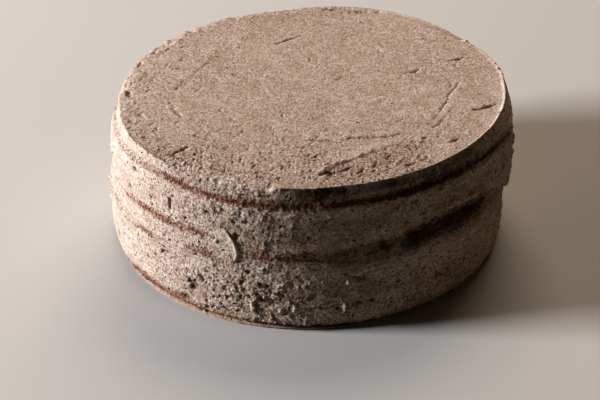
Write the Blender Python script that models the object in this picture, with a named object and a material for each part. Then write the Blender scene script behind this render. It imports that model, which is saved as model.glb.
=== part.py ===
"""Round layer cake: two sponges with a cream filling, in scraped cream that lets the sponge edges show.

Metres, +Z up. The origin is the centre of the flat base, and -Y is the front of the cake.
Azimuths are in degrees, 0 at the front and 90 at the right (+X).
"""

import math

import bmesh
import bpy

# Driving dimensions
CORE_RADIUS = 0.0986  # the two sponges and the filling are one straight-sided stack
BOTTOM_SPONGE_THICKNESS = 0.0374
FILLING_THICKNESS = 0.0098
TOP_SPONGE_THICKNESS = 0.0264
TOP_CREAM_THICKNESS = 0.0045
LIP_RADIUS = 0.0990  # edge of the flat top
UPPER_COAT_RADIUS = 0.1025
LOWER_COAT_RADIUS = 0.1017
SKIRT_RADIUS = 0.1012  # the top cream where it turns down over the side
SPONGE_LINE = 0.0038  # height of bare sponge that shows under the top cream
FOOT_RADIUS = 0.1008  # the baked bottom rim, which stands proud of the side
FOOT_HEIGHT = 0.0024
GAP = 0.0003  # between touching layers
SEGMENTS = 96  # round the cake

# Levels of the layers
FILLING_BOTTOM = BOTTOM_SPONGE_THICKNESS + GAP
FILLING_TOP = FILLING_BOTTOM + FILLING_THICKNESS
TOP_SPONGE_BOTTOM = FILLING_TOP + GAP
TOP_SPONGE_TOP = TOP_SPONGE_BOTTOM + TOP_SPONGE_THICKNESS
TOP_CREAM_BOTTOM = TOP_SPONGE_TOP + GAP
CAKE_HEIGHT = TOP_CREAM_BOTTOM + TOP_CREAM_THICKNESS

# Hand-spread unevenness, as swells: (azimuth of the middle, half width in degrees, size in metres)
CORE_SWELLS = ((-92, 28, -0.0016),)
SKIRT_EDGE_SWELLS = (
    (-42, 18, 0.0028),
    (12, 22, 0.0012),
    (45, 17, 0.0016),
    (83, 12, -0.0078),
    (152, 16, -0.0034),
    (-128, 20, -0.0020),
)
UPPER_COAT_TOP_SWELLS = ((-54, 20, 0.0018),)
UPPER_COAT_BOTTOM_SWELLS = (
    (-70, 13, -0.0036),
    (-3, 16, -0.0060),
    (42, 13, 0.0020),
    (77, 13, -0.0140),
    (176, 22, -0.0040),
)
LOWER_COAT_TOP_SWELLS = (
    (-66, 13, -0.0032),
    (-3, 16, 0.0046),
    (38, 17, 0.0044),
    (83, 14, -0.0052),
    (176, 22, 0.0030),
)
UPPER_RADIUS_SWELLS = ((80, 28, 0.0014), (165, 24, 0.0006))
LOWER_RADIUS_SWELLS = ((78, 34, -0.0024), (-84, 28, 0.0028), (140, 20, 0.0006))
BOTTOM_SPONGE_SWELLS = ((86, 24, -0.0024),)
FOOT_SWELLS = ((74, 36, -0.0028), (0, 30, -0.0008))
SKIRT_RADIUS_SWELLS = ((78, 24, 0.0022), (-94, 32, -0.0028), (-160, 26, 0.0006))
LIP_RADIUS_SWELLS = ((-88, 30, -0.0025),)
LIP_RIDGE_SWELLS = ((68, 16, 0.0007), (-30, 20, -0.0006))
RIPPLES = ((2, 0.40, 25), (3, 0.30, 140), (5, 0.18, 70), (9, 0.12, 200))  # lobes, share, phase

# The last stroke of cream across the filling, on the left
SWIPE_START = -64  # azimuths
SWIPE_END = -19.8
SWIPE_STEPS = 14
SWIPE_THICKNESS = 0.0042
SWIPE_CLEARANCE = 0.0010  # between the stroke and the coats above and below it


def swell(azimuth, swells):
    """Sum of smooth bumps round the cake."""
    total = 0.0
    for middle, half_width, size in swells:
        away = (azimuth - middle + 180) % 360 - 180
        total += size * math.exp(-((away / half_width) ** 2))
    return total


def ripple(azimuth, size, shift=0.0):
    """A slow wave round the cake, which shift turns so that neighbouring edges differ."""
    total = 0.0
    for lobes, share, phase in RIPPLES:
        total += share * math.sin(math.radians(lobes * (azimuth + shift) + phase))
    return size * total


def skirt_edge(azimuth):
    """Level of the top cream's lower edge."""
    level = TOP_SPONGE_TOP - 0.0024
    return level + swell(azimuth, SKIRT_EDGE_SWELLS) + ripple(azimuth, 0.0005)


def upper_coat_top(azimuth):
    level = skirt_edge(azimuth) - SPONGE_LINE
    return level + swell(azimuth, UPPER_COAT_TOP_SWELLS) + ripple(azimuth, 0.0005, 80)


def upper_coat_bottom(azimuth):
    level = TOP_SPONGE_BOTTOM + 0.0016
    return level + swell(azimuth, UPPER_COAT_BOTTOM_SWELLS) + ripple(azimuth, 0.0006, 150)


def lower_coat_top(azimuth):
    level = BOTTOM_SPONGE_THICKNESS - 0.0014
    return level + swell(azimuth, LOWER_COAT_TOP_SWELLS) + ripple(azimuth, 0.0006, 210)


def lower_coat_bottom(azimuth):
    return FOOT_HEIGHT + 0.0006 + ripple(azimuth, 0.0003, 30)


def upper_coat_radius(azimuth):
    return UPPER_COAT_RADIUS + swell(azimuth, UPPER_RADIUS_SWELLS) + ripple(azimuth, 0.0005, 40)


def lower_coat_radius(azimuth):
    return LOWER_COAT_RADIUS + swell(azimuth, LOWER_RADIUS_SWELLS) + ripple(azimuth, 0.0005, 290)


def core_radius(azimuth):
    """Side of the stack of sponges and filling, which lies a little further in on the left."""
    return CORE_RADIUS + swell(azimuth, CORE_SWELLS)


def bottom_sponge_radius(azimuth):
    """Side of the bottom sponge, which lies further in on the right too."""
    return core_radius(azimuth) + swell(azimuth, BOTTOM_SPONGE_SWELLS)


def band_profile(inner, bottom, top, radius):
    """Closed section of a coat of cream: proud in the middle, thinned to its two edges."""
    edge_radius = inner + 0.0012
    shoulder = radius - 0.35 * (radius - edge_radius)
    height = top - bottom
    return [
        (inner, bottom + GAP),
        (edge_radius, bottom),
        (shoulder, bottom + 0.07 * height),
        (radius - 0.0003, bottom + 0.25 * height),
        (radius, bottom + 0.55 * height),
        (radius - 0.0004, bottom + 0.80 * height),
        (shoulder, bottom + 0.93 * height),
        (edge_radius, top),
        (inner, top - GAP),
    ]


def upper_coat_profile(azimuth):
    bottom, top = upper_coat_bottom(azimuth), upper_coat_top(azimuth)
    return band_profile(core_radius(azimuth) + GAP, bottom, top, upper_coat_radius(azimuth))


def lower_coat_profile(azimuth):
    inner = bottom_sponge_radius(azimuth) + GAP
    bottom, top = lower_coat_bottom(azimuth), lower_coat_top(azimuth)
    return band_profile(inner, bottom, top, lower_coat_radius(azimuth))


def bottom_sponge_profile(azimuth):
    """From the middle of the base out round the baked foot and back to the middle of the top."""
    foot = FOOT_RADIUS + swell(azimuth, FOOT_SWELLS) + ripple(azimuth, 0.0003, 120)
    side = bottom_sponge_radius(azimuth)
    return [
        (0.0, 0.0),
        (foot - 0.0010, 0.0),
        (foot, 0.30 * FOOT_HEIGHT),
        (foot - 0.0004, 0.65 * FOOT_HEIGHT),
        (side, FOOT_HEIGHT),
        (side, BOTTOM_SPONGE_THICKNESS - 0.0006),
        (side - 0.0006, BOTTOM_SPONGE_THICKNESS),
        (0.0, BOTTOM_SPONGE_THICKNESS),
    ]


def filling_profile(azimuth):
    edge = core_radius(azimuth) - 0.0003
    waist = edge - 0.0003 + ripple(azimuth, 0.0003, 60)
    return [
        (0.0, FILLING_BOTTOM),
        (edge, FILLING_BOTTOM),
        (waist, FILLING_BOTTOM + 0.5 * FILLING_THICKNESS),
        (edge, FILLING_TOP),
        (0.0, FILLING_TOP),
    ]


def top_sponge_profile(azimuth):
    side = core_radius(azimuth)
    return [
        (0.0, TOP_SPONGE_BOTTOM),
        (side - 0.0006, TOP_SPONGE_BOTTOM),
        (side, TOP_SPONGE_BOTTOM + 0.0006),
        (side, TOP_SPONGE_TOP - 0.0006),
        (side - 0.0006, TOP_SPONGE_TOP),
        (0.0, TOP_SPONGE_TOP),
    ]


def top_cream_profile(azimuth):
    """The flat top with its lip, and the skirt that turns down over the top sponge's edge."""
    edge = skirt_edge(azimuth)
    skirt = SKIRT_RADIUS + swell(azimuth, SKIRT_RADIUS_SWELLS) + ripple(azimuth, 0.0003, 10)
    inner = core_radius(azimuth) + GAP
    lip = LIP_RADIUS + swell(azimuth, LIP_RADIUS_SWELLS)
    lip_level = CAKE_HEIGHT + swell(azimuth, LIP_RIDGE_SWELLS)
    drop = lip_level - edge
    return [
        (0.0, TOP_CREAM_BOTTOM),
        (inner, TOP_CREAM_BOTTOM),
        (inner, edge + GAP),
        (inner + 0.0009, edge),
        (skirt, edge + 0.22 * drop),
        (skirt - 0.0002, edge + 0.55 * drop),
        (lip + 0.0009, edge + 0.86 * drop),
        (lip, lip_level),
        (lip - 0.0025, lip_level - 0.0004),
        (0.88 * LIP_RADIUS, CAKE_HEIGHT - 0.0003 + ripple(azimuth, 0.0003, 190)),
        (0.60 * LIP_RADIUS, CAKE_HEIGHT + ripple(azimuth, 0.0002, 75)),
        (0.30 * LIP_RADIUS, CAKE_HEIGHT + ripple(azimuth, 0.0001, 330)),
        (0.0, CAKE_HEIGHT),
    ]


def swipe_section(azimuth, along):
    """Closed section of the stroke of cream. It swells from nothing at its start to a blunt, rounded end."""
    blunt = math.sqrt(max(0.0, 1 - max(0.0, (along - 0.86) / 0.14) ** 2))
    fullness = min(1.0, 0.25 + 1.6 * along) * (0.35 + 0.65 * blunt)
    bottom = lower_coat_top(azimuth) + SWIPE_CLEARANCE
    top = upper_coat_bottom(azimuth) - SWIPE_CLEARANCE
    middle = 0.5 * (bottom + top)
    half = 0.5 * (top - bottom) * (0.45 + 0.55 * blunt)
    inner = core_radius(azimuth) + GAP
    outer = inner + SWIPE_THICKNESS * fullness
    shoulder = outer - 0.25 * SWIPE_THICKNESS * fullness
    return [
        (inner, middle - half),
        (shoulder, middle - 0.85 * half),
        (outer, middle - 0.35 * half),
        (outer, middle + 0.35 * half),
        (shoulder, middle + 0.85 * half),
        (inner, middle + half),
    ]


def at(radius, azimuth, height):
    angle = math.radians(azimuth)
    return radius * math.sin(angle), -radius * math.cos(angle), height


def finished(name, mesh, material):
    """The mesh as a named, smooth-shaded object with its faces pointing out."""
    bmesh.ops.recalc_face_normals(mesh, faces=mesh.faces)
    data = bpy.data.meshes.new(name)
    mesh.to_mesh(data)
    mesh.free()
    data.materials.append(material)
    data.shade_smooth()
    data.set_sharp_from_angle(angle=math.radians(50))
    layer = bpy.data.objects.new(name, data)
    bpy.context.scene.collection.objects.link(layer)
    return layer


def turned(name, profile, material):
    """A body swept once round the cake, with a section that may change on the way.

    A section that starts on the axis makes a disc, and any other is closed into a ring.
    """
    mesh = bmesh.new()
    azimuths = [360 * step / SEGMENTS for step in range(SEGMENTS)]
    sections = [profile(azimuth) for azimuth in azimuths]
    is_disc = sections[0][0][0] == 0.0
    shown = slice(1, -1) if is_disc else slice(None)
    columns = [
        [mesh.verts.new(at(radius, azimuth, height)) for radius, height in section[shown]]
        for azimuth, section in zip(azimuths, sections)
    ]
    for column, following in zip(columns, columns[1:] + columns[:1]):
        rows = len(column) - 1 if is_disc else len(column)
        for row in range(rows):
            above = (row + 1) % len(column)
            mesh.faces.new((column[row], following[row], following[above], column[above]))
    if is_disc:
        for row, end in ((0, 0), (-1, -1)):
            pole = mesh.verts.new((0.0, 0.0, sections[0][end][1]))
            for column, following in zip(columns, columns[1:] + columns[:1]):
                mesh.faces.new((column[row], following[row], pole))
    return finished(name, mesh, material)


def stroke(name, material):
    """The cream swiped across the filling, lofted along the stroke."""
    mesh = bmesh.new()
    rings = []
    for step in range(SWIPE_STEPS + 1):
        along = step / SWIPE_STEPS
        azimuth = SWIPE_START + along * (SWIPE_END - SWIPE_START)
        rings.append([mesh.verts.new(at(r, azimuth, z)) for r, z in swipe_section(azimuth, along)])
    for ring, following in zip(rings, rings[1:]):
        for corner in range(len(ring)):
            beside = (corner + 1) % len(ring)
            mesh.faces.new((ring[corner], following[corner], following[beside], ring[beside]))
    mesh.faces.new(rings[0])
    mesh.faces.new(rings[-1])
    return finished(name, mesh, material)


def food(name, colour, roughness):
    """A plain matt food surface: colour is linear red, green and blue."""
    material = bpy.data.materials.new(name)
    material.use_nodes = True
    shader = material.node_tree.nodes["Principled BSDF"]
    shader.inputs["Base Color"].default_value = (*colour, 1.0)
    shader.inputs["Roughness"].default_value = roughness
    shader.inputs["Metallic"].default_value = 0.0
    material.diffuse_color = (*colour, 1.0)
    return material


def build():
    for old in list(bpy.data.objects):
        bpy.data.objects.remove(old)
    cream = food("speckled_cream", (0.40, 0.29, 0.21), 0.75)
    sponge = food("chocolate_sponge", (0.12, 0.035, 0.016), 0.90)
    turned("bottom_sponge", bottom_sponge_profile, sponge)
    turned("filling", filling_profile, cream)
    turned("top_sponge", top_sponge_profile, sponge)
    turned("top_cream", top_cream_profile, cream)
    turned("upper_coat", upper_coat_profile, cream)
    turned("lower_coat", lower_coat_profile, cream)
    stroke("swiped_cream", cream)


build()
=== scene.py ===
"""Round chocolate layer cake under thin scraped cream: the looks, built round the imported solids.

Shapes are worked out in millimetres and made into meshes in metres. Azimuths are in degrees,
0 at the front (-Y) and 90 at the right (+X), as in the solids.
"""

import math

import bpy
import numpy as np
from mathutils import Matrix, Vector


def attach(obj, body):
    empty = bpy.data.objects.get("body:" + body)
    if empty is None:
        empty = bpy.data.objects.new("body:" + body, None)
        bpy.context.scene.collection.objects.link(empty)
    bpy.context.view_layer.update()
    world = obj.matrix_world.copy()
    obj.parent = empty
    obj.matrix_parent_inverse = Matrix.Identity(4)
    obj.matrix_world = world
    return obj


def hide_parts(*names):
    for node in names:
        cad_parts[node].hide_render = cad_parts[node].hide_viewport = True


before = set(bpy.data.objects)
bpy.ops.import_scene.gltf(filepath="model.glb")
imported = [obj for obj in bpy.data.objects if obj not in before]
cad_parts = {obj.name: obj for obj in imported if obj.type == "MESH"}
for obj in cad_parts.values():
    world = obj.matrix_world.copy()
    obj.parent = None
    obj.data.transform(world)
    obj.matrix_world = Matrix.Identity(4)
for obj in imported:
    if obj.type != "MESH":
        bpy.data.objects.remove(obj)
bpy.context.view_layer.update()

MM = 0.001
PER_METRE = 1000.0  # millimetres in a metre

# Sizes of the solids, in millimetres
CORE_RADIUS = 98.6
BOTTOM_SPONGE_THICKNESS = 37.4
FILLING_THICKNESS = 9.8
TOP_SPONGE_THICKNESS = 26.4
TOP_CREAM_THICKNESS = 4.5
LIP_RADIUS = 99.0
UPPER_COAT_RADIUS = 102.5
LOWER_COAT_RADIUS = 101.7
SKIRT_RADIUS = 101.2
SPONGE_LINE = 3.8
FOOT_RADIUS = 100.8
FOOT_HEIGHT = 2.4
GAP = 0.3

FILLING_BOTTOM = BOTTOM_SPONGE_THICKNESS + GAP
FILLING_TOP = FILLING_BOTTOM + FILLING_THICKNESS
TOP_SPONGE_BOTTOM = FILLING_TOP + GAP
TOP_SPONGE_TOP = TOP_SPONGE_BOTTOM + TOP_SPONGE_THICKNESS
TOP_CREAM_BOTTOM = TOP_SPONGE_TOP + GAP
CAKE_HEIGHT = TOP_CREAM_BOTTOM + TOP_CREAM_THICKNESS

# Hand-spread unevenness, as swells: (azimuth of the middle, half width in degrees, size)
CORE_SWELLS = ((-92, 28, -1.6),)
SKIRT_EDGE_SWELLS = (
    (-42, 18, 2.8), (12, 22, 1.2), (45, 17, 1.6), (83, 12, -7.8), (152, 16, -3.4), (-128, 20, -2.0)
)
UPPER_COAT_TOP_SWELLS = ((-54, 20, 1.8),)
UPPER_COAT_BOTTOM_SWELLS = (
    (-70, 13, -3.6), (-3, 16, -6.0), (42, 13, 2.0), (77, 13, -14.0), (176, 22, -4.0)
)
LOWER_COAT_TOP_SWELLS = ((-66, 13, -3.2), (-3, 16, 4.6), (38, 17, 4.4), (83, 14, -5.2), (176, 22, 3.0))
UPPER_RADIUS_SWELLS = ((80, 28, 1.4), (165, 24, 0.6))
LOWER_RADIUS_SWELLS = ((78, 34, -2.4), (-84, 28, 2.8), (140, 20, 0.6))
BOTTOM_SPONGE_SWELLS = ((86, 24, -2.4),)
FOOT_SWELLS = ((74, 36, -2.8), (0, 30, -0.8))
SKIRT_RADIUS_SWELLS = ((78, 24, 2.2), (-94, 32, -2.8), (-160, 26, 0.6))
LIP_RADIUS_SWELLS = ((-88, 30, -2.5),)
LIP_RIDGE_SWELLS = ((68, 16, 0.7), (-30, 20, -0.6))
RIPPLES = ((2, 0.40, 25), (3, 0.30, 140), (5, 0.18, 70), (9, 0.12, 200))  # lobes, share, phase

# The last stroke of cream across the filling: its azimuths, and the levels of the fold where it ends
SWIPE_START, SWIPE_END = -64, -19.8
FOLD_BOTTOM, FOLD_TOP = 36.0, 55.5

COLUMNS = 1240  # round the cake: one every 0.52 mm
AZIMUTHS = np.arange(COLUMNS) * 360 / COLUMNS
TOP_CELLS = 272  # across the flat top: one every 0.7 mm
EMBED = 1.2  # how far a layer of cream reaches into what it sticks to
LINE_INSET = 0.3  # how far the bare top edge of the sponge lies inside the creams next to it
MID_UPPER_COAT = 58  # a level between the filling and the brown line above it
HUB_RADIUS = 60  # inside it, the hidden flat faces of a layer are fans of triangles
CREAM_HUB_RADIUS = 80  # the same for the underside of the top cream
ROW_SPACING = 0.55  # between the rows that show on the side of a layer
COAT_ROW_SPACING = 0.54  # the same on a coat of cream
TOP_REACH = 96  # how far out the short tears of the top go
AROUND = (0.12, 0.12, 1.0)  # scales places so that noise runs in streaks round the side
UPWARD = (0.9, 0.9, 0.25)  # the same, for streaks that run up it


# Unevenness

def turn_from(azimuth, middle):
    """Degrees round the cake from a middle azimuth, -180 to 180."""
    return (azimuth - middle + 180) % 360 - 180


def swell(azimuth, swells):
    """Sum of smooth bumps round the cake."""
    total = np.zeros_like(azimuth, float)
    for middle, half_width, size in swells:
        total += size * np.exp(-((turn_from(azimuth, middle) / half_width) ** 2))
    return total


def ripple(azimuth, size, shift=0.0):
    """A slow wave round the cake, which shift turns so that neighbouring edges differ."""
    turned = azimuth + shift
    return size * sum(share * np.sin(np.radians(lobes * turned + phase)) for lobes, share, phase in RIPPLES)


def noise(points, size, seed):
    """Smooth random values from -1 to 1, with features about size wide, at points in millimetres."""
    cell = points / size + seed * 7.31
    low = np.floor(cell).astype(np.int64)
    part = cell - low
    ease = part * part * (3 - 2 * part)
    total = np.zeros(points.shape[:-1])
    for corner in np.ndindex(2, 2, 2):
        code = (low + corner) @ np.array([374761393, 668265263, 1442695041]) + seed * 69069
        code = (code ^ (code >> 13)) * 1274126177 & 0xFFFFFFFF
        value = ((code ^ (code >> 16)) & 0xFFFF) / 32767.5 - 1
        total += value * np.prod(np.where(corner, ease, 1 - ease), axis=-1)
    return total


def around(azimuth, radius, height):
    """Points at an azimuth, radius and height, as x, y and z."""
    angle = np.radians(azimuth)
    return np.stack(np.broadcast_arrays(radius * np.sin(angle), -radius * np.cos(angle), height), axis=-1)


def ragged(azimuth, size, seed):
    """Uneven torn edge round the cake: long and short waves together."""
    rim = around(azimuth, CORE_RADIUS, 0.0)
    return size * (0.45 * noise(rim, 9.0, seed) + 0.55 * noise(rim, 2.1, seed + 1))


def core_radius(azimuth):
    return CORE_RADIUS + swell(azimuth, CORE_SWELLS)


def uneven(level, swells, size, shift=0.0):
    """A level or a radius that swells and ripples round the cake, as a function of azimuth."""
    return lambda azimuth: level + swell(azimuth, swells) + ripple(azimuth, size, shift)


skirt_edge = uneven(TOP_SPONGE_TOP - 2.4, SKIRT_EDGE_SWELLS, 0.5)
skirt_radius = uneven(SKIRT_RADIUS, SKIRT_RADIUS_SWELLS, 0.3, 10)
upper_coat_radius = uneven(UPPER_COAT_RADIUS, UPPER_RADIUS_SWELLS, 0.5, 40)
upper_coat_bottom = uneven(TOP_SPONGE_BOTTOM + 1.6, UPPER_COAT_BOTTOM_SWELLS, 0.6, 150)
lower_coat_radius = uneven(LOWER_COAT_RADIUS, LOWER_RADIUS_SWELLS, 0.5, 290)
lower_coat_top = uneven(BOTTOM_SPONGE_THICKNESS - 1.4, LOWER_COAT_TOP_SWELLS, 0.6, 210)
lower_coat_bottom = uneven(FOOT_HEIGHT + 0.6, (), 0.3, 30)


def upper_coat_top(azimuth):
    level = skirt_edge(azimuth) - SPONGE_LINE
    return level + swell(azimuth, UPPER_COAT_TOP_SWELLS) + ripple(azimuth, 0.5, 80)


def smooth_step(value, low, high):
    """0 below low and 1 above high, with a smooth rise between."""
    share = np.clip((value - low) / (high - low), 0, 1)
    return share * share * (3 - 2 * share)


def scraped_radius(azimuth, height):
    """The side as the scraper left it, where it passed over bare layers between the coats."""
    low, high = lower_coat_radius(azimuth), upper_coat_radius(azimuth)
    over_filling = smooth_step(height, lower_coat_top(azimuth), upper_coat_bottom(azimuth))
    over_line = smooth_step(height, upper_coat_top(azimuth), skirt_edge(azimuth))
    ledge = swell(azimuth, ((85, 15, 1.0),))
    bridged = np.where(height > MID_UPPER_COAT, 1, over_filling * (1 - ledge))
    level = low + (high - low) * bridged + (skirt_radius(azimuth) - high) * over_line
    at_line = line_inset(azimuth) * (1 - over_line) + LINE_INSET * over_line + 1.6 * ledge
    return level - np.where(height > MID_UPPER_COAT, at_line, filling_inset(azimuth))


def line_inset(azimuth):
    """How far the upper coat's top edge lies inside its full radius: most at the left, where it leans in."""
    return LINE_INSET + swell(azimuth, ((-92, 28, 1.4),))


def flushness(azimuth):
    """1 where the last stroke filled the side out level with the coats, and 0 far from it."""
    return np.clip(swell(azimuth, ((-45, 25, 1.5),)), 0, 1)


def filling_inset(azimuth):
    """How far the scraper left the filling inside the coats: flush at the left, hollow at the right."""
    return 0.25 * (1 - flushness(azimuth)) + swell(azimuth, ((34, 32, 0.75), (150, 30, 0.6)))


# Mesh building

def spline(controls, steps):
    """Catmull-Rom curves: controls is (curve, point, 2), and steps counts points along each."""
    last = controls.shape[1] - 1
    low = np.clip(np.floor(steps).astype(int), 0, last - 1)
    t = (steps - low)[None, :, None]
    p0, p1, p2, p3 = (controls[:, np.clip(low + shift, 0, last)] for shift in (-1, 0, 1, 2))
    return 0.5 * (
        2 * p1 + (p2 - p0) * t + (2 * p0 - 5 * p1 + 4 * p2 - p3) * t**2 + (3 * p1 - p0 - 3 * p2 + p3) * t**3
    )


def even_steps(controls, rows):
    """Steps that put rows at equal distances along the average of the curves."""
    fine = np.linspace(0, controls.shape[1] - 1, 600)
    path = spline(controls.mean(axis=0, keepdims=True), fine)[0]
    run = np.concatenate([[0], np.cumsum(np.linalg.norm(np.diff(path, axis=0), axis=1))])
    return np.interp(np.linspace(0, run[-1], rows), run, fine)


def section(*controls):
    """Control points of a section, each a radius and a height that may change round the cake."""
    values = np.broadcast_arrays(*[value for pair in controls for value in pair])
    return np.stack(values, axis=-1).reshape(-1, len(controls), 2)


def loop_faces(columns, rows, closed_columns=True, closed_rows=True):
    """Quads between neighbouring columns of points, numbered column by column, facing out."""
    column = np.arange(columns if closed_columns else columns - 1)[:, None]
    row = np.arange(rows if closed_rows else rows - 1)[None, :]
    beside = (column + 1) % columns
    above = (row + 1) % rows
    corners = (column * rows + row, beside * rows + row, beside * rows + above, column * rows + above)
    return np.stack(np.broadcast_arrays(*corners), axis=-1).reshape(-1, 4)


def joined(*parts):
    """Arrays of any shape as one run of numbers."""
    return np.concatenate([np.ravel(part) for part in parts])


def new_mesh(name, points, faces, **values):
    """An object from points in millimetres. Each of values, one or three a point, is a named attribute."""
    points = points.reshape(-1, 3)
    data = bpy.data.meshes.new(name)
    data.from_pydata(points * MM, [], [tuple(face) for face in faces])
    for key, value in values.items():
        value = np.asarray(value, np.float32).ravel()
        kind, field = ("FLOAT", "value") if len(value) == len(points) else ("FLOAT_VECTOR", "vector")
        data.attributes.new(key, kind, "POINT").data.foreach_set(field, value)
    data.shade_smooth()
    piece = bpy.data.objects.new(name, data)
    bpy.context.scene.collection.objects.link(piece)
    return piece


def unrolled(azimuth, run):
    """Azimuth, radius and height of the points of (column, row, 2) runs of radius and height."""
    return np.broadcast_to(azimuth[:, None], run.shape[:2]), run[..., 0], run[..., 1]


def side_values(azimuth, height):
    """What the relief and the materials are told about the side."""
    rough, bare_and_shade = side_roughness(azimuth, height), bareness_and_shade(azimuth, height)
    return dict(rough=rough, bare_and_shade=bare_and_shade, damp=painted_shade(azimuth, height))


def ring(name, outer, inner, marks):
    """A layer that goes round the cake: outer and inner are (column, row, 2) runs of radius and height."""
    run = np.concatenate([outer, inner], axis=1)
    shown = np.zeros(run.shape[:2])
    shown[:, : outer.shape[1]] = np.clip(9 * np.sin(np.linspace(0, np.pi, outer.shape[1])), 0, 1)
    turn, radius, height = unrolled(AZIMUTHS, run)
    mark = side_marks(turn, height, marks)
    points = around(turn, radius + shown * mark, height)
    # mark keeps how deep each pit is, which the material turns into painted shade
    return new_mesh(
        name, points, loop_faces(*run.shape[:2]),
        shown=shown, mark=np.clip(-mark, 0, 1), stroke=points * AROUND, **side_values(turn, height),
    )


# Marks left in the cream

def path_distance(points, path):
    """Where points lie beside a path of straight runs, judged at its nearest spot.

    Gives the distance, how far along the path the spot is, 0 to 1, and 1 on the path's left, fading to 0
    on its right.
    """
    nearest = np.full(len(points), np.inf)
    along, left = np.zeros((2, len(points)))
    runs = len(path) - 1
    for number, (start, end) in enumerate(zip(path, path[1:])):
        start, end = np.array(start, float), np.array(end, float)
        leg = end - start
        share = np.clip((points - start) @ leg / (leg @ leg), 0, 1)
        offset = points - start - share[:, None] * leg
        distance = np.linalg.norm(offset, axis=1)
        turn = (leg[0] * offset[:, 1] - leg[1] * offset[:, 0]) / np.linalg.norm(leg)
        closer = distance < nearest
        nearest = np.where(closer, distance, nearest)
        along = np.where(closer, (number + share) / runs, along)
        left = np.where(closer, smooth_step(turn, -0.4, 0.4), left)
    return nearest, along, left


def side_marks(azimuth, height, marks):
    """Change of radius from pits (a negative size) and blobs: (azimuth, height, width, tallness, size)."""
    change = np.zeros_like(height)
    for middle, level, width, tallness, size in marks:
        across = turn_from(azimuth, middle) * math.radians(1) * UPPER_COAT_RADIUS
        spots = np.stack([across, height - level, np.zeros_like(height)], axis=-1)
        wobble = 0.85 * noise(spots + 40 * middle, 1.9, 5) + 0.45 * noise(spots + 40 * middle, 0.8, 6)
        away = np.hypot(across / (0.5 * width), (height - level) / (0.5 * tallness)) + wobble
        change += size * (1 - smooth_step(away, 0.45, 1.15))
    return change


UPPER_MARKS = (
    (-57, 67, 5, 3.6, -1.6), (-61, 54, 4, 2.8, -1.3), (-49, 57.5, 2.2, 2.2, -1.2),
    (-40, 65, 2.6, 3, -1.3), (-41.5, 59.5, 1.8, 7, -1.2), (-36, 55, 2, 2.4, -1.2),
    (-29, 62, 2.2, 2.6, -1.2), (-21, 60.5, 3, 3.4, -0.9), (-18, 60.8, 6, 2.6, -0.8),
    (-20.5, 53, 2.4, 4, -1.4), (-8.5, 60, 4, 2.8, -1.2), (-20, 47, 2.6, 6, -0.4), (28, 66, 5, 2.2, -0.6),
    (14, 61, 9, 1.8, -0.3), (-5, 66, 4, 1.2, 0.4), (-13, 65, 2.4, 3, 0.9), (-25, 66, 2.6, 2.4, 0.7),
    (84, 55, 4, 3, 1.2), (88, 47, 3, 3, 1.4), (80, 50, 3.4, 2.4, 1), (90, 62, 4, 3, 0.8),
    (76, 57, 4, 2.4, -0.8), (49, 56, 6, 4, -0.7), (54, 51, 7, 3, -0.6), (-82, 57, 3, 5, 0.6),
)
SKIRT_MARKS = (
    (-16, 77.5, 7, 2.6, -1.2), (-20, 74.5, 2.6, 2, 0.8), (-29, 78, 3, 1.6, -0.8), (-36, 77, 4, 1.6, -0.8),
    (-11, 75, 2, 2.4, 0.7), (-6, 78.5, 2.6, 1.6, -0.9), (86, 72, 4, 3, 0.8),
)
LOWER_MARKS = (
    (-35.5, 16.5, 5, 5.6, -1.5), (-32, 22.5, 2.6, 4.4, -1), (-13, 17, 8, 5, -1), (-13, 25, 6.5, 5, -0.8),
    (-45, 29.5, 5, 2.6, -1.2), (-57, 29, 2, 2, -0.9), (-53, 20, 2, 3, -0.9), (-25, 19.5, 2.6, 3, -0.7),
    (-24, 15.5, 3.6, 2.6, -0.6), (-18.5, 32.5, 4, 3.4, -1), (-20, 26, 2.6, 3.4, -0.6),
    (-38, 8, 3.4, 3, -0.6), (-31, 12, 1.8, 6, -0.5), (-21, 9, 3, 3, -0.5), (-8, 11, 3, 5, -0.6),
    (-1, 20, 3.6, 3.6, -0.8), (9.2, 28, 1.8, 5, 1.8), (12.5, 29, 6, 3, -0.8), (8.3, 13, 2.6, 5, 2),
    (4.5, 15, 6, 1.2, 0.5), (11.5, 14.5, 5, 3.6, -1), (16, 15.5, 3, 2.4, -0.9), (37, 18, 6, 3, -1),
    (27, 9, 9, 1.8, -0.6), (-65, 38, 4, 3, -1.2), (-72, 15, 4.5, 4, -1.2), (-87, 33, 2.6, 2.8, 1.5),
    (-90, 28.5, 2.4, 2.6, 1.3), (-83, 26, 2, 2.4, 0.9), (-60, 14, 3, 2, -1), (-10, 21, 3, 2.4, 1),
    (-16.5, 20.5, 3.4, 2.6, 1.1), (-17, 13, 3, 5, 1), (-5.5, 14, 2.4, 4, 0.9), (-22, 22, 2.6, 4, 0.9),
    (-27, 10, 3, 3, 0.9), (-3, 26, 5, 1.6, 0.6), (68, 28, 4, 4, 0.8), (78, 20, 4, 3, 0.9),
    (72, 12, 3, 2.6, 0.9),
)


# Pieces

def side_roughness(azimuth, height):
    """Torn and pitted at the front left, most of all low down, and smoother elsewhere."""
    low_down = smooth_step(-height, -34, -22)
    torn = swell(
        azimuth, ((-28, 17, 0.45), (-10, 12, 0.30), (82, 16, 0.45), (150, 30, 0.35), (-140, 26, 0.45))
    )
    beside = swell(azimuth, ((34, 38, 0.32), (-50, 15, 0.10), (-78, 20, -0.20)))
    return 0.55 + torn + beside + low_down * swell(azimuth, ((-22, 16, 0.10), (4, 14, 0.20)))


def patchy(azimuth, height, size, seed):
    return 0.5 + 0.5 * noise(around(azimuth, CORE_RADIUS, height), size, seed)


def band(azimuth, height, level, reach, amounts, steady=0.0):
    """A soft-edged band round the cake at a level: steady all round, and more or less where amounts say."""
    return (steady + swell(azimuth, amounts)) * np.exp(-(((height - level) / reach) ** 2))


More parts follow.
